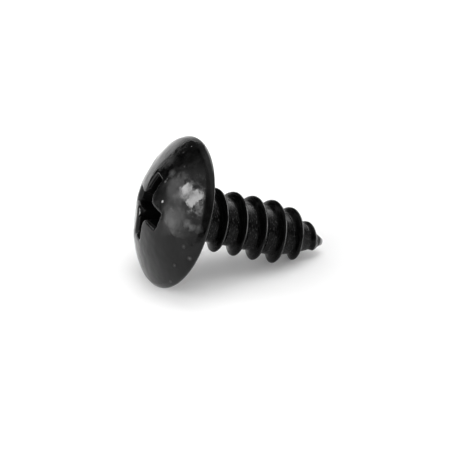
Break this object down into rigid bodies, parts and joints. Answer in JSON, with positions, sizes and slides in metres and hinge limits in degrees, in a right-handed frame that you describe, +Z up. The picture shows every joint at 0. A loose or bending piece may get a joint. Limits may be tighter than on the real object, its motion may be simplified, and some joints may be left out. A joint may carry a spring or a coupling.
{
  "type": "self-tapping screw",
  "caption": "Short self-tapping screw with a low domed truss head, a cross recess, a plain neck, a coarse right-hand thread and a blunt tapered point, in glossy black steel.",
  "frame": {"origin": "on the ground under the middle of the screw's footprint, as it lies at rest on its rim and on the thread near its point", "axes": "+X from the head towards the point, +Y to the left of the screw seen from the head, +Z up; the screw's axis lies in the XZ plane and dips 21.4 degrees towards +X"},
  "size_m": [0.0118, 0.0092, 0.0087],
  "materials": {
    "blackened_steel": "glossy black plated finish on steel, mottled on the dome and streaked in the thread"
  },
  "bodies": {
    "root": {"screw": "blackened_steel"}
  },
  "joints": []
}
